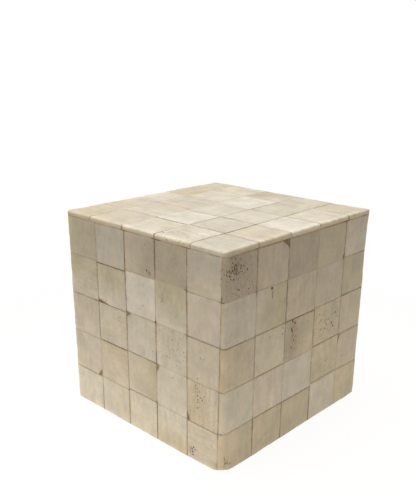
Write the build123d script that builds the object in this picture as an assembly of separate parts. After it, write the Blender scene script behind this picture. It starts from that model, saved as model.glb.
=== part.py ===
"""Cube paperweight: a wooden core block clad on all six faces with hand-cut slips of polished bone.

Frame: origin at the centre of the underside, +Z up, -Y the front face, +X the right face. Millimetres.
Each face holds a grid of slips. The top slips lie over the ends of the side slips, the right-hand slips lie
over the ends of the front and back ones, and those lie over the ends of the left-hand ones. Brown resin
fills every joint and every chipped corner, a little below the polished surface.
"""

from build123d import *
import os

# Overall size of the finished block
width = 100.0  # along X
depth = 102.5  # along Y
height = 98.0  # along Z

# Bone slips
grid = 5  # slips along each side of a face
slip = 2.2  # thickness of the front, back, left, top and underside slips
right_slip_foot = 2.7  # the right-hand slips are ground thinner towards the top:
right_slip_head = 1.3  # thickness at the foot and at the head
joint = 0.3  # gap between neighbouring slips
recess = 0.08  # the resin lies this far below the polished surface

# Rounded and worn edges
corner_edge = 1.2  # radius of the upright edges
near_edge = 2.0  # radius of the front right-hand edge, which is rubbed rounder
top_edge = 1.0  # radius round the top
foot_edge = 0.8  # radius round the underside
worn_corner = 5.0  # corner rubbed off at the foot of the front right-hand edge, along each foot edge
worn_rise = 3.0  # and up the upright edge

# Where the hand-laid joints leave an even grid, in millimetres.
# Upright joints, left to right: shift at the foot and at the head of the face.
FRONT_UPRIGHT = [(0.9, 1.1), (0.9, 1.2), (0.2, 0.8), (-0.7, -0.3)]
RIGHT_UPRIGHT = [(-1.2, -1.0), (-1.4, -0.8), (0.1, 0.0), (1.3, 1.4)]
TOP_UPRIGHT = [(-2.4, -4.2), (0.0, -2.2), (0.6, -0.7), (1.6, -0.4)]
# Level joints: one row for each column of slips, shifts from the foot upwards.
FRONT_LEVEL = [(-0.6, 0.1, 0.5, 0.8), (-0.4, 0.4, 0.4, 0.5), (0.3, 0.7, 0.9, 1.2),
               (-0.1, 0.6, 0.9, 1.3), (-0.4, 0.4, 0.7, 0.8)]
RIGHT_LEVEL = [(0.1, 0.3, 0.4, 0.7), (0.1, 0.3, 0.5, 0.9), (-0.1, 0.2, 0.6, 1.1),
               (0.7, 1.0, 1.3, 1.1), (0.5, 0.7, 1.5, 1.4)]
TOP_LEVEL = [(0.7, 2.0, 1.5, 2.9), (0.2, 1.2, 1.5, 2.4), (-0.3, -0.2, 0.7, 2.3),
             (0.4, 0.2, 0.6, 3.0), (-0.5, 0.2, 0.9, 2.8)]

# Corners that broke off a slip before the joints were filled.
# (face, column, row from the foot): (corner, length along the row, length up the column)
CHIPS = {
    ("front", 2, 4): ("foot left", 7.5, 1.4),
    ("front", 3, 3): ("head left", 3.0, 2.0),
    ("front", 4, 2): ("head left", 2.0, 3.5),
    ("front", 1, 2): ("foot right", 3.0, 4.0),
    ("front", 5, 2): ("foot left", 1.5, 4.5),
    ("right", 2, 5): ("head right", 5.0, 3.5),
    ("right", 4, 5): ("foot right", 1.0, 3.0),
    ("right", 5, 2): ("head left", 1.5, 4.0),
}

side_top = height - slip  # the side slips end here, under the top slips
reach = 5.0  # how far a cutting solid stands clear of the block


def rounded_block(inset):
    """The outside of the block, or the same shape lying `inset` inside it."""
    block = Pos(0, 0, height / 2) * Box(width - 2 * inset, depth - 2 * inset, height - 2 * inset)
    uprights = block.edges().filter_by(Axis.Z).sort_by(Axis((0, 0, 0), (1, -1, 0)))
    block = fillet(uprights[-1], near_edge - inset)
    uprights = block.edges().filter_by(Axis.Z).sort_by(Axis((0, 0, 0), (1, -1, 0)))
    block = fillet(uprights[:3], corner_edge - inset)
    block = fillet(block.faces().sort_by(Axis.Z)[-1].edges(), top_edge - inset)
    block = fillet(block.faces().sort_by(Axis.Z)[0].edges(), foot_edge - inset)
    rubbed = (1 / worn_corner, -1 / worn_corner, -1 / worn_rise)
    wear = Plane(origin=(width / 2 - worn_corner - inset, -depth / 2, 0), z_dir=rubbed)
    return block.split(wear, keep=Keep.BOTTOM)


def right_inner(z):
    """X of the back of the right-hand slips at height z."""
    thickness = right_slip_foot + (right_slip_head - right_slip_foot) * z / side_top
    return width / 2 - thickness


def upright_slab(x_low, y_low, y_high, z_low, z_high, gap):
    """A slab from x_low to the back of the right-hand slips, `gap` short of it."""
    outline = Polyline(
        (x_low, 0, z_low), (right_inner(z_low) - gap, 0, z_low),
        (right_inner(z_high) - gap, 0, z_high), (x_low, 0, z_high), close=True,
    )
    face = Pos(0, y_low, 0) * make_face(outline)
    return extrude(face, amount=y_high - y_low, dir=(0, 1, 0))


def box_between(low, high):
    """The box with these two opposite corners."""
    size = [h - l for l, h in zip(low, high)]
    centre = [(h + l) / 2 for l, h in zip(low, high)]
    return Pos(*centre) * Box(*size)


def skins(block):
    """The layer of bone on each face, before it is cut into slips, and the core they are glued to."""
    x, y = width / 2, depth / 2
    far = x + reach
    side_head = side_top - joint
    core = upright_slab(-x + slip, -y + slip, y - slip, slip, side_top, 0)
    behind_right = upright_slab(-far, -y - reach, y + reach, -reach, height + reach, 0)
    below_top = box_between((-far, -y - reach, -reach), (far, y + reach, side_head))
    side_layer = {
        "front": upright_slab(-far, -y - reach, -y + slip, -reach, side_head, joint),
        "back": upright_slab(-far, y - slip, y + reach, -reach, side_head, joint),
        "left": box_between((-far, -y + slip + joint, -reach), (-x + slip, y - slip - joint, side_head)),
        "underside": upright_slab(
            -x + slip + joint, -y + slip + joint, y - slip - joint, -reach, slip, joint
        ),
        "top": box_between((-far, -y - reach, side_top), (far, y + reach, height + reach)),
    }
    layers = {face: block & layer for face, layer in side_layer.items()}
    layers["right"] = (block & below_top) - behind_right
    return layers, core


def face_plans():
    """For each face: its plane, its length and height, and the shifts of its joints."""
    x, y = width / 2, depth / 2
    return {
        "front": (Plane((-x, -y, 0), x_dir=(1, 0, 0), z_dir=(0, -1, 0)), width, side_top,
                  FRONT_UPRIGHT, FRONT_LEVEL),
        "right": (Plane((x, -y, 0), x_dir=(0, 1, 0), z_dir=(1, 0, 0)), depth, side_top,
                  RIGHT_UPRIGHT, RIGHT_LEVEL),
        "back": (Plane((x, y, 0), x_dir=(-1, 0, 0), z_dir=(0, 1, 0)), width, side_top,
                 FRONT_UPRIGHT, FRONT_LEVEL),
        "left": (Plane((-x, y, 0), x_dir=(0, -1, 0), z_dir=(-1, 0, 0)), depth, side_top,
                 RIGHT_UPRIGHT, RIGHT_LEVEL),
        "top": (Plane((-x, -y, height), x_dir=(1, 0, 0), z_dir=(0, 0, 1)), width, depth,
                TOP_UPRIGHT, TOP_LEVEL),
        "underside": (Plane((-x, y, 0), x_dir=(1, 0, 0), z_dir=(0, 0, -1)), width, depth,
                      TOP_UPRIGHT, TOP_LEVEL),
    }


def chip_corner(corners, chip):
    """The outline with one corner cut off; corners run foot left, foot right, head right, head left."""
    name, along, up = chip
    order = ["foot left", "foot right", "head right", "head left"]
    index = order.index(name)
    u, v = corners[index]
    inward_u = along if name.endswith("left") else -along
    inward_v = up if name.startswith("foot") else -up
    cut = [(u + inward_u, v), (u, v + inward_v)]
    if index in (0, 2):
        cut.reverse()
    return corners[:index] + cut + corners[index + 1:]


def slip_outlines(face, length, tall, upright, level):
    """The outline of every slip on a face, by (column, row), with half a joint left free all round."""
    lines = [(0.0, 0.0)]
    for i, (foot, head) in enumerate(upright, start=1):
        even = length * i / grid
        lines.append((even + foot, even + head))
    lines.append((length, length))

    def on_line(line, v):
        foot, head = line
        return foot + (head - foot) * v / tall

    outlines = {}
    half = joint / 2
    for column in range(grid):
        inner = [tall * j / grid + shift for j, shift in enumerate(level[column], start=1)]
        heights = [0.0, *inner, tall]
        left, right = lines[column], lines[column + 1]
        left_gap = half if column > 0 else 0.0
        right_gap = half if column < grid - 1 else 0.0
        for row in range(grid):
            low = heights[row] + (half if row > 0 else 0.0)
            high = heights[row + 1] - (half if row < grid - 1 else 0.0)
            corners = [
                (on_line(left, low) + left_gap, low), (on_line(right, low) - right_gap, low),
                (on_line(right, high) - right_gap, high), (on_line(left, high) + left_gap, high),
            ]
            chip = CHIPS.get((face, column + 1, row + 1))
            outlines[column + 1, row + 1] = chip_corner(corners, chip) if chip else corners
    return outlines


def cut_slips(face, plan, layer):
    """The slips of one face, as lists of solids by column."""
    plane, length, tall, upright, level = plan
    outer = plane.offset(reach)
    cut_depth = reach + 2 * max(slip, right_slip_foot)
    columns = {}
    for (column, _row), outline in slip_outlines(face, length, tall, upright, level).items():
        prism = extrude(outer * Polygon(*outline, align=None), amount=-cut_depth)
        columns.setdefault(column, []).extend((layer & prism).solids())
    return columns


def write(name, solids):
    """Write one node as STEP, with its solids side by side."""
    shape = solids[0] if len(solids) == 1 else Compound(children=solids)
    shape.label = name
    export_step(shape, f"parts/{name}.step")


def main():
    os.makedirs("parts", exist_ok=True)
    layers, core = skins(rounded_block(0))
    bone = []
    for face, plan in face_plans().items():
        for column, solids in cut_slips(face, plan, layers[face]).items():
            bone.extend(solids)
            write(f"{face}_bone_column_{column}", solids)
    joint_resin = rounded_block(recess) - [core, *bone]
    write("core_block", core.solids())
    write("joint_resin", joint_resin.solids())


main()
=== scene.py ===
# Looks of the bone-clad cube paperweight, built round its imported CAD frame.
# Objects are in metres. Detail lists are in millimetres on a face: u from its left edge, v from its foot.

import math
import random

import bmesh
import bpy
from mathutils import Matrix, Vector, noise
from mathutils.kdtree import KDTree


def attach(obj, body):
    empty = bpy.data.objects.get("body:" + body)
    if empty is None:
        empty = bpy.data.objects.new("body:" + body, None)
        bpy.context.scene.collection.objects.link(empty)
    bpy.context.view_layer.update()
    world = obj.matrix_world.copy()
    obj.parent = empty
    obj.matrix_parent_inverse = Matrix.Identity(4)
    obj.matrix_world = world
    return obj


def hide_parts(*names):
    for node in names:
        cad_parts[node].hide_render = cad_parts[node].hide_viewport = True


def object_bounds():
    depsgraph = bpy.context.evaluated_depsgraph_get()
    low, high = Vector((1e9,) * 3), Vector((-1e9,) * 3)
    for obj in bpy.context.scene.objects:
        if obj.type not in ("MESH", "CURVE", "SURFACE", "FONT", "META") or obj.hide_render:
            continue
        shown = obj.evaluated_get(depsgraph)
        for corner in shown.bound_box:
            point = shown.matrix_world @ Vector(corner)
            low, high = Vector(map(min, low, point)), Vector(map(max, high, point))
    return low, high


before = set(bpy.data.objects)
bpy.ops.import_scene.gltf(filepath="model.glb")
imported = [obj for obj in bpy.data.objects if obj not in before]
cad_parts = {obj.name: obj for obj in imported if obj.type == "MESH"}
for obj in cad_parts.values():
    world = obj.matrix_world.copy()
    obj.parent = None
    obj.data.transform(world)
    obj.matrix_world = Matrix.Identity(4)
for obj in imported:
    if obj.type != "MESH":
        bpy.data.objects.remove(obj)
cad_low, cad_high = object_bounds()

MM = 0.001
SEED = 29
half_x, half_y, height = cad_high.x, cad_high.y, cad_high.z

# Each face's foot-left corner, its u and v directions and its outward direction.
FACES = {
    "front": (Vector((-half_x, -half_y, 0)), Vector((1, 0, 0)), Vector((0, 0, 1)), Vector((0, -1, 0))),
    "right": (Vector((half_x, -half_y, 0)), Vector((0, 1, 0)), Vector((0, 0, 1)), Vector((1, 0, 0))),
    "back": (Vector((half_x, half_y, 0)), Vector((-1, 0, 0)), Vector((0, 0, 1)), Vector((0, 1, 0))),
    "left": (Vector((-half_x, half_y, 0)), Vector((0, -1, 0)), Vector((0, 0, 1)), Vector((-1, 0, 0))),
    "top": (Vector((-half_x, -half_y, height)), Vector((1, 0, 0)), Vector((0, 1, 0)), Vector((0, 0, 1))),
    "underside": (Vector((-half_x, half_y, 0)), Vector((1, 0, 0)), Vector((0, -1, 0)), Vector((0, 0, -1))),
}
COLUMNS = 5

# ---------------------------------------------------------------- tones and layout

# Linear colours of polished bone, from greenish ivory to porous grey-brown.
TONES = {
    "w": (0.690, 0.635, 0.535),  # brightest ivory
    "i": (0.645, 0.580, 0.470),  # ivory
    "g": (0.590, 0.540, 0.435),  # grey ivory
    "c": (0.600, 0.525, 0.405),  # cream
    "p": (0.610, 0.530, 0.430),  # pinkish cream
    "t": (0.545, 0.465, 0.355),  # tan
    "h": (0.580, 0.490, 0.340),  # honey
    "o": (0.510, 0.447, 0.310),  # olive tan
    "b": (0.455, 0.390, 0.295),  # brown-grey, porous
    "d": (0.530, 0.480, 0.390),  # dull grey
}

# One letter for each slip, from the top row down, left to right as the face is looked at.
LAYOUT = {
    "front": ["odbbd", "oowop", "tcgcc", "chcic", "iiiic"],
    "right": ["btbog", "gotto", "tchtt", "gpgot", "ohogh"],
    "top": ["ciogc", "hiwgi", "iggiw", "cpwgc", "cciig"],
    "back": ["cptgo", "gochi", "tcgph", "iocgt", "pgtic"],
    "left": ["tgcob", "chgti", "opchg", "gtipc", "cgoit"],
    "underside": ["cgtpc", "ocgit", "cpcgo", "gicto", "tocpg"],
}

# Slips that drift to another tone towards one side: (face, column, row from the top): letter, side.
DRIFTS = {
    ("front", 1, 1): ("b", "right"), ("front", 3, 1): ("t", "left"), ("front", 5, 1): ("c", "foot"),
    ("front", 1, 2): ("c", "foot"), ("front", 2, 2): ("i", "foot"), ("front", 4, 2): ("i", "foot"),
    ("front", 1, 3): ("p", "foot"), ("front", 4, 3): ("i", "foot"), ("front", 3, 4): ("o", "right"),
    ("front", 5, 4): ("h", "left"), ("front", 2, 5): ("c", "right"), ("front", 4, 5): ("h", "foot"),
    ("front", 1, 4): ("p", "right"), ("front", 2, 4): ("c", "foot"),
    ("right", 2, 2): ("c", "left"), ("right", 1, 3): ("h", "left"), ("right", 3, 3): ("b", "left"),
    ("right", 4, 3): ("h", "left"), ("right", 5, 1): ("c", "head"), ("right", 1, 5): ("h", "left"),
    ("right", 5, 5): ("o", "right"), ("right", 2, 5): ("o", "right"), ("right", 4, 4): ("h", "head"),
    ("top", 3, 1): ("p", "right"), ("top", 1, 2): ("c", "left"), ("top", 2, 3): ("p", "foot"),
    ("top", 2, 4): ("i", "foot"), ("top", 3, 3): ("i", "foot"), ("top", 1, 5): ("h", "foot"),
    ("back", 2, 2): ("c", "left"), ("left", 4, 3): ("h", "foot"), ("left", 2, 5): ("i", "right"),
}

# Which way the grain of each slip runs: | up the face, - along it.
GRAIN = {
    "front": ["|||||", "-||||", "|-|||", "|-|||", "||||-"],
    "right": ["|||||", "|||||", "|||||", "|||||", "|||||"],
    "top": ["-----", "-----", "-----", "-----", "-----"],
    "back": ["||-||", "|||||", "|-|||", "|||-|", "|||||"],
    "left": ["|||||", "||-||", "|||||", "|-|||", "||||-"],
    "underside": ["-----", "-----", "-----", "-----", "-----"],
}

# How brown each joint is, 0 (lost in the bone) to 4 (nearly black). Level joints: one row of marks for each,
# from the head of the face down, one mark for each column. Upright joints: one row for each row of slips.
LEVEL_JOINTS = {
    "front": ["14101", "22102", "14201", "21212"],
    "right": ["01101", "22313", "12121", "12311"],
    "top": ["00203", "02123", "01231", "11332"],
    "back": ["11201", "21312", "12110", "22121"],
    "left": ["21011", "12213", "11240", "21121"],
    "underside": ["11211", "12111", "21121", "11211"],
}
UPRIGHT_JOINTS = {
    "front": ["1332", "2313", "2332", "1212", "2332"],
    "right": ["2213", "1412", "2232", "1121", "3341"],
    "top": ["0112", "0122", "1011", "1133", "1122"],
    "back": ["2123", "1221", "3122", "1212", "2231"],
    "left": ["1222", "2132", "1213", "2211", "2322"],
    "underside": ["1121", "1212", "2111", "1122", "1211"],
}
JOINT_DARKNESS = [0.0, 0.18, 0.42, 0.68, 1.0]

# Places where the filling is darker: (face, u, v, reach along u, reach along v, strength).
JOINT_SPOTS = [
    ("front", 22.0, 58.5, 5.0, 1.2, 0.35), ("front", 42.5, 58.0, 2.0, 1.5, 0.35),
    ("front", 61.5, 36.5, 1.5, 2.5, 0.45), ("front", 19.6, 20.5, 2.0, 2.0, 0.35),
    ("front", 80.5, 21.0, 1.2, 2.5, 0.40), ("front", 60.5, 58.7, 0.8, 0.8, 0.8),
    ("front", 79.4, 77.8, 0.9, 0.9, 0.8), ("front", 98.6, 78.2, 0.9, 0.9, 0.9),
    ("front", 79.4, 58.0, 0.9, 0.9, 0.7), ("front", 79.3, 39.1, 0.8, 0.8, 0.6),
    ("front", 41.3, 18.8, 0.8, 0.8, 0.7), ("front", 60.0, 19.5, 0.8, 0.8, 0.7),
    ("front", 98.2, 48.0, 1.0, 9.0, 0.30), ("front", 98.2, 28.0, 1.0, 9.0, 0.30),
    ("front", 98.5, 1.0, 3.0, 4.0, 0.4), ("front", 60.2, 95.8, 0.8, 1.5, 0.5),
    ("right", 37.5, 94.5, 3.0, 2.0, 0.18), ("right", 39.5, 92.3, 0.8, 0.8, 0.9),
    ("right", 82.5, 79.0, 1.2, 1.5, 0.40), ("right", 84.0, 36.5, 2.0, 3.0, 0.35),
    ("right", 19.3, 77.0, 0.8, 1.2, 0.6), ("right", 19.0, 18.0, 0.8, 2.2, 0.6),
    ("right", 62.4, 6.0, 0.8, 4.0, 0.5), ("right", 28.0, 95.6, 12.0, 0.6, 0.30),
    ("right", 70.0, 95.6, 14.0, 0.6, 0.15), ("right", 98.0, 96.0, 1.2, 1.5, 0.8),
    ("top", 81.8, 19.8, 1.5, 1.0, 0.6), ("top", 99.0, 62.0, 1.5, 1.0, 0.6),
    ("top", 43.5, 19.0, 2.0, 0.8, 0.4), ("top", 62.0, 1.5, 1.0, 2.0, 0.5),
    ("top", 17.5, 1.5, 1.0, 2.0, 0.5), ("top", 99.5, 22.0, 1.5, 0.8, 0.5),
]

# Slips whose marrow side shows as fine open pores: (face, column, row from the top): how much.
POROUS = {
    ("right", 1, 1): 1.0, ("right", 4, 3): 0.8, ("right", 4, 4): 0.55, ("front", 5, 4): 0.6,
    ("front", 4, 3): 0.5, ("front", 4, 1): 0.45, ("top", 4, 5): 0.7, ("front", 2, 3): 0.3,
    ("right", 3, 3): 0.4, ("back", 2, 4): 0.6, ("left", 3, 2): 0.7,
}

# ---------------------------------------------------------------- pits, cracks and stains

# Single pits and cracks: (face, u, v, half length along u, half length along v, lean in degrees).
PITS = [
    ("right", 45.2, 57.4, 0.45, 0.90, 10), ("right", 46.9, 56.0, 0.50, 0.75, 0),
    ("right", 44.9, 53.0, 0.45, 1.50, 18), ("right", 45.8, 50.4, 0.30, 0.60, 0),
    ("right", 46.4, 47.6, 0.25, 0.70, -10), ("right", 44.8, 44.6, 0.22, 0.60, 0),
    ("right", 39.7, 92.6, 0.42, 0.60, 0), ("right", 38.0, 94.4, 0.80, 0.35, 25),
    ("right", 29.3, 76.6, 0.75, 0.55, 0), ("right", 29.8, 73.6, 0.12, 2.0, 6),
    ("right", 38.6, 68.6, 0.10, 1.6, -20), ("right", 40.2, 66.0, 0.09, 1.4, -20),
    ("right", 38.0, 56.2, 0.22, 0.5, 0), ("right", 38.0, 53.4, 0.22, 0.4, 0),
    ("right", 29.4, 54.6, 0.28, 0.28, 0), ("right", 88.3, 26.2, 0.3, 0.3, 0),
    ("right", 65.8, 54.5, 0.3, 0.3, 0), ("right", 79.0, 52.0, 0.35, 0.5, 0),
    ("front", 55.6, 80.9, 0.55, 0.30, -30), ("front", 57.4, 79.9, 1.10, 0.22, -30),
    ("front", 52.6, 64.1, 0.25, 0.3, 0), ("front", 27.0, 40.6, 0.22, 0.22, 0),
    ("front", 49.2, 44.0, 0.2, 0.2, 0), ("front", 58.0, 44.0, 0.2, 0.2, 0),
    ("front", 70.4, 35.7, 0.2, 0.3, 0), ("front", 54.6, 92.0, 0.2, 0.25, 0),
    ("front", 94.1, 11.7, 0.1, 1.2, 35), ("front", 60.4, 58.9, 0.35, 0.35, 0),
    ("front", 79.4, 77.8, 0.35, 0.35, 0), ("front", 98.9, 78.2, 0.35, 0.5, 0),
    ("front", 60.2, 19.4, 0.3, 0.4, 0), ("front", 41.2, 18.8, 0.3, 0.3, 0),
    ("top", 61.5, 4.2, 1.3, 0.22, -10), ("top", 64.0, 6.5, 0.3, 0.2, 0),
    ("right", 1.6, 7.6, 0.16, 1.7, 22), ("right", 2.0, 5.2, 0.36, 0.42, 0),
    ("right", 3.4, 4.6, 0.36, 0.30, 20), ("right", 4.9, 3.9, 0.30, 0.26, 0),
    ("front", 98.0, 5.4, 0.30, 0.55, 0), ("front", 97.2, 3.9, 0.36, 0.26, 0),
]

# Clusters of small pores: (face, u, v, spread along u, spread along v, how many, largest half length).
CLUSTERS = [
    ("right", 7.2, 90.0, 6.0, 5.5, 60, 0.30), ("right", 5.5, 90.0, 3.0, 3.0, 26, 0.34),
    ("right", 8.0, 81.0, 4.0, 3.0, 14, 0.24), ("right", 1.2, 88.0, 0.5, 5.5, 12, 0.26),
    ("front", 98.0, 88.0, 0.5, 5.0, 7, 0.22), ("right", 13.0, 84.0, 3.0, 5.0, 12, 0.22),
    ("right", 74.5, 47.5, 4.5, 4.5, 16, 0.30), ("right", 77.0, 45.5, 1.2, 2.2, 7, 0.35),
    ("right", 74.0, 29.0, 1.2, 1.5, 6, 0.28), ("right", 71.5, 21.0, 2.5, 0.8, 6, 0.25),
    ("right", 68.5, 46.0, 2.5, 3.0, 6, 0.22), ("right", 60.5, 31.0, 2.5, 1.5, 4, 0.18),
    ("front", 36.5, 53.8, 2.6, 1.8, 9, 0.26), ("front", 65.0, 71.0, 1.6, 2.6, 8, 0.22),
    ("front", 72.0, 48.0, 4.5, 5.5, 13, 0.22), ("front", 86.5, 30.5, 4.0, 8.0, 20, 0.32),
    ("front", 82.0, 5.0, 2.4, 3.6, 16, 0.36), ("front", 88.5, 48.0, 2.4, 6.0, 8, 0.2),
    ("top", 66.0, 8.0, 5.5, 5.0, 14, 0.22), ("top", 51.0, 53.0, 5.0, 2.5, 8, 0.18),
    ("top", 30.0, 94.0, 9.0, 4.0, 12, 0.2), ("top", 72.0, 6.0, 5.0, 3.0, 8, 0.2),
    ("back", 33.0, 24.0, 4.0, 6.0, 18, 0.3), ("left", 52.0, 66.0, 5.0, 5.0, 20, 0.32),
]

# Brown and orange stains: (face, u, v, reach along u, reach along v, strength).
STAINS = [
    ("right", 46.4, 50.0, 2.8, 5.0, 0.85), ("right", 45.4, 55.0, 2.4, 3.0, 0.7),
    ("right", 46.5, 44.0, 3.2, 3.5, 0.4),
    ("right", 7.0, 90.5, 4.2, 4.4, 0.75), ("right", 29.6, 75.5, 0.9, 2.6, 0.65),
    ("right", 2.6, 4.6, 2.6, 2.6, 0.55), ("right", 5.0, 10.0, 6.0, 8.0, 0.14),
    ("right", 26.0, 8.0, 5.0, 7.0, 0.16),
    ("right", 38.0, 94.0, 2.4, 1.6, 0.5), ("right", 50.0, 45.0, 5.0, 4.0, 0.22),
    ("right", 77.0, 46.0, 2.0, 3.0, 0.3), ("right", 82.9, 79.5, 0.8, 1.6, 0.6),
    ("front", 57.4, 80.0, 1.9, 0.9, 0.6), ("front", 64.5, 71.5, 1.3, 3.4, 0.35),
    ("front", 24.0, 58.9, 3.4, 0.9, 0.55), ("front", 42.8, 57.0, 1.5, 1.2, 0.5),
    ("front", 19.5, 20.5, 1.2, 1.8, 0.4), ("front", 61.3, 36.9, 1.0, 1.5, 0.45),
    ("front", 80.4, 20.8, 0.9, 2.0, 0.45), ("front", 86.5, 31.0, 3.0, 6.0, 0.25),
    ("front", 81.8, 5.0, 1.4, 2.8, 0.4), ("front", 97.8, 3.0, 1.8, 2.6, 0.6),
    ("front", 6.0, 70.0, 6.0, 3.0, 0.16), ("front", 71.0, 84.0, 6.0, 6.0, 0.15),
    ("top", 8.0, 70.0, 5.0, 6.0, 0.10), ("top", 12.0, 88.0, 7.0, 4.0, 0.20),
]

# ---------------------------------------------------------------- how the slips are worked

GRID_SEEN = 1.0 * MM  # spacing of the mesh on the three faces that are seen most
GRID_HIDDEN = 2.0 * MM
RIM_BEVEL = 0.10 * MM  # polished rim of each slip
CROWN = 0.04 * MM  # how far a slip falls away towards its rim
UNEVEN = 0.06 * MM  # waviness left by hand grinding
LEVEL_SCATTER = 0.03 * MM  # how far a slip stands above or below its neighbours
PIT_DEPTH = 0.35 * MM
EDGE_WOBBLE = 0.22 * MM  # how unevenly the edges of the block are rubbed down
WORN_ALONG, WORN_UP = 5.0 * MM, 3.0 * MM  # the corner rubbed off at the foot of the near edge
WORN_SOFT = 0.55 * MM  # how softly the worn corner runs into the faces beside it
WORN_REACH = 12 * MM  # the worn corner changes nothing further away than this
WORN_FADE = 5 * MM  # and its effect fades out over this last stretch
FAR_FLARE = Vector((0.45, 0.35, 0.10))  # how far the far top corner stands out, in millimetres
FLARE_REACH = 5 * MM
CROWN_REACH = 1.6 * MM  # width of the rim over which a slip falls away
BORDER_REACH = 2.2 * MM  # width of the rubbed strip along the edges of the block, and of the painted highlight along them
RESIN_GRID = 1.6 * MM  # spacing of the mesh of the joint filling
PLAIN_JOINT = 0.22  # darkness of the filling away from any marked joint
RIM_SAMPLES = 24  # rim points looked at to find the two slips beside a joint
FLAT_ANGLE = math.radians(0.6)  # CAD polygons that meet flatter than this are merged
SHARP_ANGLE = math.radians(38)  # edges sharper than this stay crisp


def face_place(face, point):
    """(u, v, depth below the face) of a point, in metres."""
    origin, along_u, along_v, outward = FACES[face]
    offset = point - origin
    return offset.dot(along_u), offset.dot(along_v), -offset.dot(outward)


def face_point(face, u, v, depth=0.0):
    """The point at u, v and a depth below the face, all in metres."""
    origin, along_u, along_v, outward = FACES[face]
    return origin + along_u * u + along_v * v - outward * depth


def is_exposed(polygon, edge_zone=3.8 * MM):
    """Whether a CAD polygon lies on the outside of the block, and not in a joint or on the core."""
    normal, centre = polygon.normal, polygon.calc_center_median()
    planes = ((half_x, centre.x, normal.x), (half_y, centre.y, normal.y))
    gaps = [(half - abs(at), n if at > 0 else -n) for half, at, n in planes]
    gaps.append((height - centre.z, normal.z) if centre.z > height / 2 else (centre.z, -normal.z))
    outward = [gap for gap, n in gaps if n > 0.06]
    if any(n < -0.06 for _gap, n in gaps) and not outward:
        return False
    if len(outward) == 1:
        return outward[0] < 0.02 * MM
    return len(outward) > 1 and all(gap < edge_zone for gap in outward)


def cad_copy(node):
    """The CAD node's own polygons, merged where they are flat."""
    bm = bmesh.new()
    bm.from_mesh(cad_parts[node].data)
    bmesh.ops.remove_doubles(bm, verts=bm.verts, dist=1e-6)
    bmesh.ops.dissolve_limit(bm, angle_limit=FLAT_ANGLE, verts=bm.verts, edges=bm.edges)
    return bm


def rim_edges(bm):
    """The edges where the outside of a slip meets a joint."""
    exposed = {polygon: is_exposed(polygon) for polygon in bm.faces}
    return [e for e in bm.edges if len(e.link_faces) == 2 and len({exposed[f] for f in e.link_faces}) == 2]


def points_along(edges, spacing=0.25 * MM):
    """Points along these edges, close enough together to measure from."""
    points = []
    for edge in edges:
        start, end = (v.co for v in edge.verts)
        steps = max(1, math.ceil((end - start).length / spacing))
        points += [start.lerp(end, step / steps) for step in range(steps + 1)]
    return points


def tree_of(points):
    tree = KDTree(len(points))
    for index, point in enumerate(points):
        tree.insert(point, index)
    tree.balance()
    return tree


def cut_grid(bm, direction, spacing):
    """Cuts every slip across by evenly spaced planes, so that its faces can bend."""
    places = [v.co.dot(direction) for v in bm.verts]
    low, high = min(places), max(places)
    cuts = max(1, round((high - low) / spacing))
    for cut in range(1, cuts):
        at = low + (high - low) * cut / cuts
        geometry = bm.verts[:] + bm.edges[:] + bm.faces[:]
        bmesh.ops.bisect_plane(bm, geom=geometry, dist=1e-7, plane_co=direction * at, plane_no=direction)


def islands(bm):
    """The separate slips of a mesh, as lists of vertices."""
    found, seen = [], set()
    for start in bm.verts:
        if start in seen:
            continue
        stack, island = [start], []
        seen.add(start)
        while stack:
            vertex = stack.pop()
            island.append(vertex)
            for edge in vertex.link_edges:
                other = edge.other_vert(vertex)
                if other not in seen:
                    seen.add(other)
                    stack.append(other)
        found.append(island)
    return found


def from_the_top(face, bm):
    """The slips of a column, the one at the head of the face first."""
    def head(island):
        return -sum(face_place(face, v.co)[1] for v in island) / len(island)
    return sorted(islands(bm), key=head)


def all_rims():
    """Points along the rim of every slip, by face, each with its slip's column and row from the top."""
    rims = {}
    for face in FACES:
        points = []
        for column in range(COLUMNS):
            bm = cad_copy(f"{face}_bone_column_{column + 1}")
            edges = rim_edges(bm)
            for row, island in enumerate(from_the_top(face, bm)):
                members = set(island)
                own = [edge for edge in edges if edge.verts[0] in members]
                points += [(point, (column, row)) for point in points_along(own)]
            bm.free()
        rims[face] = points
    return rims


def border_reach(point):
    """How near a point is to an edge of the block, 1 on the edge and 0 away from it, by the way it lies."""
    gaps = sorted((half_x - abs(point.x), half_y - abs(point.y), height - point.z, point.z))
    return math.exp(-((max(0.0, gaps[1]) / BORDER_REACH) ** 2))


def rubbed_foot(point):
    """Where a point near the worn corner at the foot ends up, once its hard edges are rubbed soft."""
    near_foot = Vector((half_x, -half_y, 0))
    away = (point - near_foot).length
    if away > WORN_REACH:
        return point
    cut = Vector((-1 / WORN_ALONG, 1 / WORN_ALONG, 1 / WORN_UP)).normalized()
    cut_start = near_foot + Vector((-WORN_ALONG, 0, 0))
    planes = [(Vector((-1, 0, 0)), near_foot), (Vector((0, 1, 0)), near_foot),
              (Vector((0, 0, 1)), near_foot), (cut, cut_start)]
    weights = [math.exp(-(point - start).dot(inward) / WORN_SOFT) for inward, start in planes]
    shortfall = WORN_SOFT * math.log(sum(weights))
    if shortfall <= 0:
        return point
    inward = sum((normal * weight for (normal, _start), weight in zip(planes, weights)), Vector())
    fade = min(1.0, (WORN_REACH - away) / WORN_FADE)
    return point + inward.normalized() * shortfall * fade


def wear_corners(vertices):
    """Rounds the worn corner at the foot of the near edge, and flares the far top corner a little."""
    far_head = Vector((half_x, half_y, height))
    for vertex in vertices:
        vertex.co = rubbed_foot(vertex.co)
        near = math.exp(-(((vertex.co - far_head).length / FLARE_REACH) ** 2))
        vertex.co += FAR_FLARE * near * MM


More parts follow.
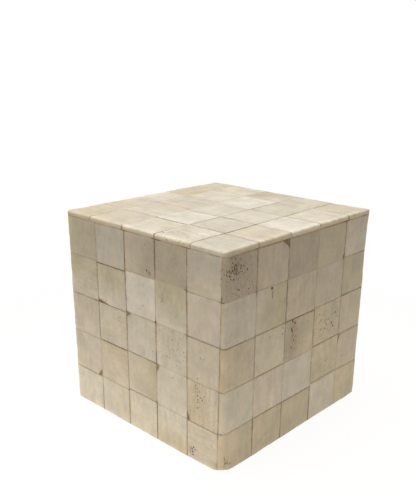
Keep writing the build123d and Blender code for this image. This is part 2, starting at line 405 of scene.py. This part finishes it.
def grind(bm, face, rims, rng):
    """Leaves each slip slightly crowned, tilted and wavy, as hand grinding does."""
    exposed = {v for polygon in bm.faces if is_exposed(polygon) for v in polygon.verts}
    bm.normal_update()
    for island in islands(bm):
        middle = sum((v.co for v in island), Vector()) / len(island)
        level = rng.uniform(-1, 1) * LEVEL_SCATTER
        tilt = Vector([rng.uniform(-1, 1) for _axis in range(3)]) * LEVEL_SCATTER / (10 * MM)
        moves = {}
        for vertex in island:
            if vertex not in exposed:
                continue
            near = rims.find(vertex.co)[2]
            crown = -CROWN * math.exp(-near / CROWN_REACH)
            wave = noise.noise(vertex.co * 90) * UNEVEN + noise.noise(vertex.co * 330) * UNEVEN * 0.4
            rubbed = border_reach(vertex.co) * EDGE_WOBBLE
            wobble = noise.noise(vertex.co * 60) * rubbed + noise.noise(vertex.co * 210) * rubbed * 0.7
            moves[vertex] = level + tilt.dot(vertex.co - middle) + crown + wave + wobble
        for vertex, move in moves.items():
            vertex.co += vertex.normal * move
    wear_corners(bm.verts)


def pit_places(face):
    """Every pit on a face: u, v, half lengths, lean. The clusters are scattered the same way each run."""
    places = [pit[1:] for pit in PITS if pit[0] == face]
    for index, (on, u, v, spread_u, spread_v, count, largest) in enumerate(CLUSTERS):
        if on != face:
            continue
        rng = random.Random(SEED + index)
        for _pore in range(count):
            size = largest * rng.uniform(0.35, 1.0) ** 1.3
            at_u, at_v = rng.gauss(u, spread_u * 0.5), rng.gauss(v, spread_v * 0.5)
            places.append((at_u, at_v, size, size * rng.uniform(0.9, 1.9), rng.uniform(-20, 20)))
    return places


def pit_cutter(face, low_u, high_u, dirt):
    """One mesh of all the rough hollows to be cut from the slips between low_u and high_u."""
    bm = bmesh.new()
    _origin, along_u, along_v, outward = FACES[face]
    turn = Matrix((along_u, along_v, outward)).transposed()
    for index, (u, v, reach_u, reach_v, lean) in enumerate(pit_places(face)):
        if not low_u / MM < u < high_u / MM:
            continue
        depth = min(PIT_DEPTH, 1.1 * min(reach_u, reach_v) * MM)
        shape = turn @ Matrix.Rotation(math.radians(lean), 3, "Z") @ Matrix.Diagonal(
            (reach_u * MM, reach_v * MM, depth))
        made = bmesh.ops.create_icosphere(bm, subdivisions=2, radius=1.0)["verts"]
        centre = face_point(face, u * MM, v * MM)
        for vertex in made:
            rough = 1 + 0.28 * noise.noise(vertex.co * 1.7 + Vector((index * 3.1, 0, 0)))
            vertex.co = centre + shape @ (vertex.co * rough)
    mesh = bpy.data.meshes.new("cutter")
    bm.to_mesh(mesh)
    bm.free()
    mesh.materials.append(dirt)
    return mesh


def cut_pits(piece, face, dirt):
    """Cuts the pits and cracks into a piece as real hollows lined with old dirt."""
    places = [face_place(face, v.co)[0] for v in piece.data.vertices]
    mesh = pit_cutter(face, min(places), max(places), dirt)
    if not mesh.vertices:
        bpy.data.meshes.remove(mesh)
        return
    cutter = bpy.data.objects.new("cutter", mesh)
    bpy.context.scene.collection.objects.link(cutter)
    cut = piece.modifiers.new("pits", "BOOLEAN")
    cut.operation, cut.solver, cut.object = "DIFFERENCE", "EXACT", cutter
    cut.use_self = True
    cut.material_mode = "TRANSFER"
    graph = bpy.context.evaluated_depsgraph_get()
    result = bpy.data.meshes.new_from_object(piece.evaluated_get(graph), depsgraph=graph)
    piece.modifiers.clear()
    piece.data = result
    bpy.data.objects.remove(cutter)
    bpy.data.meshes.remove(mesh)


def stain_at(face, u, v):
    """How stained the bone is at u, v, in millimetres."""
    total = 0.0
    for on, at_u, at_v, reach_u, reach_v, strength in STAINS:
        if on == face:
            total += strength * math.exp(-((u - at_u) / reach_u) ** 2 - ((v - at_v) / reach_v) ** 2)
    return min(1.0, total)


def drifted_tone(face, column, row, across, up):
    """A slip's colour at a place on it; across and up run from -1 to 1 over the slip."""
    tone = Vector(TONES[LAYOUT[face][row][column]])
    letter, side = DRIFTS.get((face, column + 1, row + 1), (None, None))
    if letter is None:
        return tone
    toward = {"left": -across, "right": across, "head": up, "foot": -up}[side]
    share = max(0.0, min(1.0, 0.5 + 0.75 * toward))
    return tone.lerp(Vector(TONES[letter]), share)


def describe_slips(piece, face, column, rims, resin_tree, resin_darkness):
    """Stores what the bone material reads: tone, with a painted highlight along the edges of the block, grain
    coordinates, wear by the joints, stains and pores.
    """
    mesh = piece.data
    kinds = {"tone": "FLOAT_COLOR", "grain": "FLOAT_VECTOR", "traits": "FLOAT_VECTOR", "wear": "FLOAT_VECTOR"}
    for name, kind in kinds.items():
        mesh.attributes.new(name, kind, "POINT")
    tone, grain, traits, wear = (mesh.attributes[name] for name in kinds)
    bm = bmesh.new()
    bm.from_mesh(mesh)
    bm.verts.index_update()
    slips = [island for island in from_the_top(face, bm) if len(island) > 8]
    for row, island in enumerate(slips):
        rng = random.Random(f"{face} {column} {row}")
        upright = GRAIN[face][row][column] == "|"
        lean = math.radians(rng.uniform(-6, 6))
        shade = rng.uniform(0.98, 1.02)
        offset = rng.uniform(0, 5)
        streaky = rng.uniform(0.1, 1.0)
        porous = POROUS.get((face, column + 1, row + 1), rng.uniform(0, 0.12))
        places = [face_place(face, v.co) for v in island]
        low_u, high_u = min(p[0] for p in places), max(p[0] for p in places)
        low_v, high_v = min(p[1] for p in places), max(p[1] for p in places)
        for vertex, (u, v, depth) in zip(island, places):
            du, dv = u - (low_u + high_u) / 2, v - (low_v + high_v) / 2
            across, along = (du, dv) if upright else (dv, du)
            across, along = (across * math.cos(lean) - along * math.sin(lean),
                             across * math.sin(lean) + along * math.cos(lean))
            bend = noise.noise(vertex.co * 70 + Vector((offset, 0, 0))) * 0.5
            at = (2 * du / (high_u - low_u) + bend, 2 * dv / (high_v - low_v) + bend)
            # Painted highlight: the colour is made up to 13% lighter along the edges of the block, where the
            # rounded rim would catch the light.
            colour = drifted_tone(face, column, row, *at) * shade * (1 + 0.13 * border_reach(vertex.co))
            index = vertex.index
            tone.data[index].color = (*colour, 1)
            grain.data[index].vector = (across + offset, along, depth)
            traits.data[index].vector = (stain_at(face, u / MM, v / MM), porous, max(0.0, depth) / MM)
            near = rims.find(vertex.co)[2]
            soil = resin_darkness[resin_tree.find(vertex.co)[1]]
            wear.data[index].vector = (near / MM, soil, streaky)
    bm.free()


def joint_darkness(point, rim_points, rim_trees):
    """How brown the filling is at a point: by the marks of its joint, with wandering strength and spots."""
    depths = {face: abs(face_place(face, point)[2]) for face in FACES}
    face = min(depths, key=depths.get)
    beside = []
    for _co, index, _distance in rim_trees[face].find_n(point, RIM_SAMPLES):
        slip = rim_points[face][index][1]
        if slip not in beside:
            beside.append(slip)
    darkness = PLAIN_JOINT
    if len(beside) > 1:
        (column_a, row_a), (column_b, row_b) = beside[:2]
        if row_a == row_b:
            darkness = JOINT_DARKNESS[int(UPRIGHT_JOINTS[face][row_a][min(column_a, column_b)])]
        elif column_a == column_b:
            darkness = JOINT_DARKNESS[int(LEVEL_JOINTS[face][min(row_a, row_b)][column_a])]
    darkness *= 1 + 0.9 * noise.noise(point * 160) + 0.5 * noise.noise(point * 520)
    for on, spot_u, spot_v, reach_u, reach_v, strength in JOINT_SPOTS:
        if on in (face, *(f for f in FACES if depths[f] < 1 * MM)):
            u, v, _depth = face_place(on, point)
            away = ((u / MM - spot_u) / reach_u) ** 2 + ((v / MM - spot_v) / reach_v) ** 2
            darkness += strength * math.exp(-away)
    return max(0.0, min(1.0, darkness))


def make_resin(material, rims):
    """The filling of the joints, from the CAD node's own shape, browner in some joints than in others."""
    bm = cad_copy("joint_resin")
    for axis in ((1, 0, 0), (0, 1, 0), (0, 0, 1)):
        cut_grid(bm, Vector(axis), RESIN_GRID)
    wear_corners(bm.verts)
    mesh = bpy.data.meshes.new("joint_filling")
    bm.to_mesh(mesh)
    bm.free()
    mesh.materials.append(material)
    trees = {face: tree_of([point for point, _slip in points]) for face, points in rims.items()}
    mesh.attributes.new("darkness", "FLOAT", "POINT")
    values = [joint_darkness(v.co, rims, trees) for v in mesh.vertices]
    mesh.attributes["darkness"].data.foreach_set("value", values)
    piece = bpy.data.objects.new("joint_filling", mesh)
    bpy.context.scene.collection.objects.link(piece)
    piece.data.shade_smooth()
    piece.data.set_sharp_from_angle(angle=SHARP_ANGLE)
    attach(piece, "root")
    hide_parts("joint_resin")
    return tree_of([v.co for v in mesh.vertices]), values


def make_slips(face, column, bone, dirt, resin_tree, resin_darkness):
    """The five slips of one column, cut from the CAD node's own shape."""
    node = f"{face}_bone_column_{column + 1}"
    seen = face in ("front", "right", "top")
    spacing = GRID_SEEN if seen else GRID_HIDDEN
    _origin, along_u, along_v, _outward = FACES[face]
    bm = cad_copy(node)
    rim = rim_edges(bm)
    rims = tree_of(points_along(rim))
    bmesh.ops.bevel(bm, geom=rim, offset=RIM_BEVEL, segments=2, profile=0.5, affect="EDGES",
                    clamp_overlap=False)
    for direction in (along_u, along_v):
        cut_grid(bm, direction, spacing)
    grind(bm, face, rims, random.Random(f"grind {face} {column}"))
    mesh = bpy.data.meshes.new(f"{face}_slips_{column + 1}")
    bm.to_mesh(mesh)
    bm.free()
    mesh.materials.append(bone)
    mesh.materials.append(dirt)
    piece = bpy.data.objects.new(f"{face}_slips_{column + 1}", mesh)
    bpy.context.scene.collection.objects.link(piece)
    cut_pits(piece, face, dirt)
    describe_slips(piece, face, column, rims, resin_tree, resin_darkness)
    piece.data.shade_smooth()
    piece.data.set_sharp_from_angle(angle=SHARP_ANGLE)
    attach(piece, "root")
    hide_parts(node)


# ---------------------------------------------------------------- materials


class Nodes:
    """Short calls for adding and linking shader nodes."""

    def __init__(self, name):
        self.material = bpy.data.materials.new(name)
        self.material.use_nodes = True
        self.tree = self.material.node_tree
        self.shader = self.tree.nodes["Principled BSDF"]

    def add(self, kind, inputs=None, **settings):
        node = self.tree.nodes.new(kind)
        for key, value in settings.items():
            setattr(node, key, value)
        for key, value in (inputs or {}).items():
            self.put(value, node.inputs[key])
        return node

    def put(self, value, socket):
        if isinstance(value, bpy.types.NodeSocket):
            self.tree.links.new(value, socket)
        else:
            socket.default_value = value

    def math(self, operation, a, b=0.0, clamp=False):
        return self.add("ShaderNodeMath", {0: a, 1: b}, operation=operation, use_clamp=clamp).outputs[0]

    def ramp(self, value, low, high, to_low=0.0, to_high=1.0):
        """value taken smoothly from the range low..high to to_low..to_high."""
        node = self.add("ShaderNodeMapRange", {0: value, 1: low, 2: high, 3: to_low, 4: to_high},
                        interpolation_type="SMOOTHSTEP")
        return node.outputs[0]

    def mix(self, factor, a, b, blend="MIX"):
        node = self.add("ShaderNodeMix", data_type="RGBA", blend_type=blend)
        self.put(factor, node.inputs[0])
        self.put(a, node.inputs[6])
        self.put(b, node.inputs[7])
        return node.outputs[2]

    def attribute(self, name, output):
        return self.add("ShaderNodeAttribute", attribute_name=name).outputs[output]

    def stretched(self, vector, scale):
        return self.add("ShaderNodeVectorMath", {0: vector, 1: scale}, operation="MULTIPLY").outputs[0]

    def noise(self, vector, scale, detail=2.0, roughness=0.5):
        return self.add("ShaderNodeTexNoise", {"Vector": vector, "Scale": scale, "Detail": detail,
                                               "Roughness": roughness}).outputs["Fac"]


def bone_material():
    n = Nodes("polished_bone")
    tone = n.attribute("tone", "Color")
    grain = n.attribute("grain", "Vector")
    stain, porous, depth = n.add("ShaderNodeSeparateXYZ", {0: n.attribute("traits", "Vector")}).outputs
    near, soil, streaky = n.add("ShaderNodeSeparateXYZ", {0: n.attribute("wear", "Vector")}).outputs

    cloud = n.noise(grain, 110.0, 3.0, 0.55)
    mottle = n.noise(n.stretched(grain, (1.0, 0.6, 1.0)), 650.0, 4.0, 0.65)
    streak = n.noise(n.stretched(grain, (1.0, 0.14, 1.0)), 420.0, 3.0, 0.6)
    fibre = n.noise(n.stretched(grain, (1.0, 0.08, 1.0)), 2600.0, 2.0)
    streaks = n.math("MULTIPLY", n.ramp(streak, 0.25, 0.75, -0.10, 0.10), streaky)
    light = n.math("ADD", n.ramp(cloud, 0.25, 0.75, -0.10, 0.10), n.ramp(mottle, 0.25, 0.75, -0.06, 0.06))
    light = n.math("ADD", n.math("ADD", light, streaks), 1.0)
    light = n.math("ADD", light, n.ramp(fibre, 0.3, 0.7, -0.015, 0.015))
    grey = n.add("ShaderNodeCombineColor", {0: light, 1: light, 2: light}).outputs[0]
    colour = n.mix(1.0, tone, grey, "MULTIPLY")

    warm = n.ramp(n.noise(n.stretched(grain, (1.0, 0.4, 1.0)), 150.0, 2.0), 0.45, 0.75, 0.0, 0.28)
    colour = n.mix(warm, colour, (0.55, 0.485, 0.32, 1))

    cells = n.add("ShaderNodeTexVoronoi", {"Vector": n.stretched(grain, (1.0, 0.42, 1.0)), "Scale": 1500.0},
                  feature="F1").outputs["Distance"]
    sparse = n.ramp(n.noise(grain, 420.0, 2.0), 0.42, 0.62)
    pore = n.math("MULTIPLY", n.ramp(cells, 0.22, 0.42, 1.0, 0.0), sparse)
    pore = n.math("MULTIPLY", pore, porous)
    colour = n.mix(n.math("MULTIPLY", pore, 0.7), colour, (0.19, 0.135, 0.08, 1))

    patchy = n.ramp(n.noise(grain, 650.0, 3.0, 0.65), 0.35, 0.65, 0.15, 1.0)
    stain_colour = n.mix(n.ramp(stain, 0.55, 0.95), (0.29, 0.22, 0.125, 1), (0.40, 0.25, 0.105, 1))
    colour = n.mix(n.math("MULTIPLY", stain, patchy, clamp=True), colour, stain_colour)

    grime = n.math("MULTIPLY", n.ramp(near, 0.0, 0.7, 0.8, 0.0), soil)
    grime = n.math("MULTIPLY", grime, n.ramp(n.noise(grain, 700.0, 3.0), 0.3, 0.7, 0.3, 1.0))
    colour = n.mix(grime, colour, (0.25, 0.17, 0.09, 1))

    cut_edge = n.math("MULTIPLY", n.ramp(depth, 0.7, 1.9), n.ramp(n.noise(grain, 55.0), 0.38, 0.6, 0.2, 0.85))
    colour = n.mix(cut_edge, colour, (0.60, 0.46, 0.23, 1))

    n.put(colour, n.shader.inputs["Base Color"])
    n.put(n.ramp(n.math("ADD", mottle, cloud), 0.7, 1.3, 0.38, 0.50), n.shader.inputs["Roughness"])
    n.shader.inputs["Subsurface Weight"].default_value = 0.12
    n.shader.inputs["Subsurface Radius"].default_value = (1.0, 0.7, 0.4)
    n.shader.inputs["Subsurface Scale"].default_value = 0.0012
    n.shader.inputs["IOR"].default_value = 1.5
    relief = n.math("SUBTRACT", n.math("MULTIPLY", fibre, 0.2), pore)
    bump = n.add("ShaderNodeBump", {"Height": relief, "Strength": 0.5, "Distance": 0.00008})
    n.put(bump.outputs[0], n.shader.inputs["Normal"])
    return n.material


def dirt_material():
    n = Nodes("old_dirt")
    place = n.add("ShaderNodeTexCoord").outputs["Object"]
    shade = n.ramp(n.noise(place, 2400.0, 3.0), 0.3, 0.7)
    n.put(n.mix(shade, (0.07, 0.045, 0.024, 1), (0.19, 0.13, 0.075, 1)), n.shader.inputs["Base Color"])
    n.shader.inputs["Roughness"].default_value = 0.85
    return n.material


def resin_material():
    n = Nodes("joint_resin_brown")
    place = n.add("ShaderNodeTexCoord").outputs["Object"]
    darkness = n.attribute("darkness", "Fac")
    speck = n.ramp(n.noise(place, 1500.0, 2.0), 0.3, 0.7, -0.12, 0.12)
    factor = n.math("ADD", darkness, speck, clamp=True)
    pale = n.mix(n.ramp(factor, 0.0, 0.5), (0.56, 0.48, 0.35, 1), (0.27, 0.17, 0.08, 1))
    n.put(n.mix(n.ramp(factor, 0.45, 1.0), pale, (0.06, 0.038, 0.02, 1)), n.shader.inputs["Base Color"])
    n.shader.inputs["Roughness"].default_value = 0.6
    bump = n.add("ShaderNodeBump", {"Height": speck, "Strength": 0.6, "Distance": 0.0001})
    n.put(bump.outputs[0], n.shader.inputs["Normal"])
    return n.material


def wood_material():
    n = Nodes("core_wood")
    place = n.add("ShaderNodeTexCoord").outputs["Object"]
    rings = n.noise(n.stretched(place, (0.05, 1.0, 1.0)), 260.0, 4.0, 0.6)
    fibre = n.noise(n.stretched(place, (0.03, 1.0, 1.0)), 1800.0, 2.0)
    factor = n.math("ADD", n.math("MULTIPLY", rings, 0.7), n.math("MULTIPLY", fibre, 0.3))
    colour = n.mix(n.ramp(factor, 0.35, 0.65), (0.24, 0.13, 0.06, 1), (0.42, 0.26, 0.13, 1))
    n.put(colour, n.shader.inputs["Base Color"])
    n.shader.inputs["Roughness"].default_value = 0.75
    bump = n.add("ShaderNodeBump", {"Height": fibre, "Strength": 0.5, "Distance": 0.0002})
    n.put(bump.outputs[0], n.shader.inputs["Normal"])
    return n.material


def paper_white():
    """White floor that keeps a faint shadow. The camera sees nearly plain white; the block sees a pale warm
    sheet that is darker further out and, near the block, glows warm with painted light, so it lights the foot
    of each side most."""
    n = Nodes("white_floor")
    place = n.add("ShaderNodeTexCoord").outputs["Object"]
    far = n.add("ShaderNodeVectorMath", {0: place}, operation="LENGTH").outputs["Value"]
    colour = n.mix(n.ramp(far, 0.10, 0.32), (0.90, 0.85, 0.76, 1), (0.16, 0.15, 0.14, 1))
    n.put(colour, n.shader.inputs["Base Color"])
    n.shader.inputs["Roughness"].default_value = 0.9
    # Painted light: the floor glows warm by itself near the block, strongest within 8 cm and gone by 28 cm,
    # and lights the foot of each side though it is no lamp.
    n.shader.inputs["Emission Color"].default_value = (1.0, 0.92, 0.80, 1)
    n.put(n.ramp(far, 0.08, 0.28, 0.25, 0.0), n.shader.inputs["Emission Strength"])
    path = n.add("ShaderNodeLightPath").outputs
    shown = n.math("MAXIMUM", path["Is Camera Ray"], path["Is Glossy Ray"])
    shown = n.math("MAXIMUM", shown, path["Is Transmission Ray"])
    white = n.add("ShaderNodeEmission", {"Color": (1, 1, 1, 1), "Strength": 1.0})
    plain = n.ramp(far, 0.10, 0.24, FLOOR_WHITE, 1.0)
    blend = n.add("ShaderNodeMixShader", {0: n.math("MULTIPLY", shown, plain)})
    n.put(n.shader.outputs[0], blend.inputs[1])
    n.put(white.outputs[0], blend.inputs[2])
    n.put(blend.outputs[0], n.tree.nodes["Material Output"].inputs["Surface"])
    return n.material


# ---------------------------------------------------------------- stage, lights and camera

CAMERA_TURN, CAMERA_RISE, CAMERA_ROLL = 43.38, 20.09, 0.36  # degrees
CAMERA_DISTANCE = 0.3297  # from the middle of the block, along the line of sight
CAMERA_ASIDE, CAMERA_UP = -0.0051, 0.00475
AIM_HEIGHT = 0.050
LENS = 48.73  # mm on a 36 mm sensor
SHIFT_UP = 0.102
WORLD_STRENGTH, WORLD_COLOUR = 0.45, (1.0, 0.92, 0.81)
LAMP_PLACE, LAMP_SIZE = (-0.20, -0.21, 1.10), 0.8
LAMP_POWER, LAMP_COLOUR = 12.0, (0.92, 0.955, 1.0)
FLOOR_WHITE = 0.93  # share of plain white in what the camera sees of the floor near the block


def add_camera():
    turn, rise, roll = (math.radians(a) for a in (CAMERA_TURN, CAMERA_RISE, CAMERA_ROLL))
    back = Vector((math.sin(turn) * math.cos(rise), -math.cos(turn) * math.cos(rise), math.sin(rise)))
    right = Vector((math.cos(turn), math.sin(turn), 0))
    up = back.cross(right)
    right, up = (math.cos(roll) * right + math.sin(roll) * up, math.cos(roll) * up - math.sin(roll) * right)
    camera = bpy.data.objects.new("camera", bpy.data.cameras.new("camera"))
    place = Vector((0, 0, AIM_HEIGHT)) + back * CAMERA_DISTANCE + right * CAMERA_ASIDE + up * CAMERA_UP
    camera.matrix_world = Matrix.Translation(place) @ Matrix((right, up, back)).transposed().to_4x4()
    camera.data.lens = LENS
    camera.data.shift_y = SHIFT_UP
    camera.data.clip_start = 0.01
    bpy.context.scene.collection.objects.link(camera)
    bpy.context.scene.camera = camera


def add_area(name, place, size, power, colour):
    """A soft square lamp aimed at the block."""
    lamp = bpy.data.objects.new(name, bpy.data.lights.new(name, "AREA"))
    lamp.data.size = size
    lamp.data.energy = power
    lamp.data.color = colour
    lamp.location = place
    aim = Vector((0, 0, height / 2)) - Vector(place)
    lamp.rotation_euler = aim.to_track_quat("-Z", "Y").to_euler()
    bpy.context.scene.collection.objects.link(lamp)


def add_world(strength, colour):
    """Even light from all round, and plain white where the camera looks past the floor."""
    world = bpy.data.worlds.new("studio")
    world.use_nodes = True
    bpy.context.scene.world = world
    tree = world.node_tree
    lighting = tree.nodes["Background"]
    lighting.inputs["Color"].default_value = (*colour, 1)
    lighting.inputs["Strength"].default_value = strength
    white = tree.nodes.new("ShaderNodeBackground")
    white.inputs["Color"].default_value = (1, 1, 1, 1)
    path = tree.nodes.new("ShaderNodeLightPath")
    blend = tree.nodes.new("ShaderNodeMixShader")
    tree.links.new(path.outputs["Is Camera Ray"], blend.inputs[0])
    tree.links.new(lighting.outputs[0], blend.inputs[1])
    tree.links.new(white.outputs[0], blend.inputs[2])
    tree.links.new(blend.outputs[0], tree.nodes["World Output"].inputs["Surface"])


def add_floor(size=6.0):
    bm = bmesh.new()
    bmesh.ops.create_grid(bm, x_segments=4, y_segments=4, size=size / 2)
    mesh = bpy.data.meshes.new("floor")
    bm.to_mesh(mesh)
    bm.free()
    mesh.materials.append(paper_white())
    floor = bpy.data.objects.new("floor", mesh)
    floor.location.z = -0.05 * MM
    bpy.context.scene.collection.objects.link(floor)


def main():
    add_camera()
    add_floor()
    add_world(WORLD_STRENGTH, WORLD_COLOUR)
    add_area("overhead", LAMP_PLACE, LAMP_SIZE, LAMP_POWER, LAMP_COLOUR)

    rims = all_rims()
    bone, dirt = bone_material(), dirt_material()
    resin_tree, resin_darkness = make_resin(resin_material(), rims)
    for face in FACES:
        for column in range(COLUMNS):
            make_slips(face, column, bone, dirt, resin_tree, resin_darkness)
    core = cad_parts["core_block"].data
    core.materials.clear()
    core.materials.append(wood_material())
    bpy.context.scene.view_settings.view_transform = "Standard"


main()
